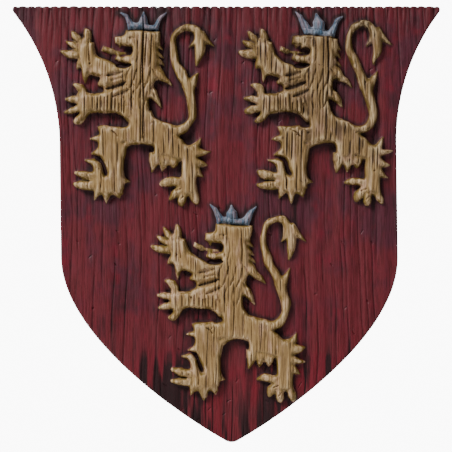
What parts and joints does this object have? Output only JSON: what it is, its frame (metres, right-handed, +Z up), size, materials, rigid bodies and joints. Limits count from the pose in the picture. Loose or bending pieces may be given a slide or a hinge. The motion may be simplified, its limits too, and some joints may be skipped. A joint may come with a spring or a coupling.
{
  "type": "heater shield wall plaque",
  "caption": "Heater-shaped wall shield with flared upper corners, carrying crowned lions rampant in relief on a grooved red field; flat back with a keyhole for hanging.",
  "frame": {"origin": "on the flat back face, at half the height and under the middle of the top edge", "axes": "+Z up to the top edge, -Y out of the carved front, +Y into the wall, +X to the right as seen from the front"},
  "size_m": [0.3925, 0.0245, 0.3999],
  "materials": {
    "painted_resin": "matt antiqued paint: dark red grained field, dull gold lions, blue crowns, dark wash in the grooves"
  },
  "bodies": {
    "root": {"heater_shield": "painted_resin"}
  },
  "joints": []
}
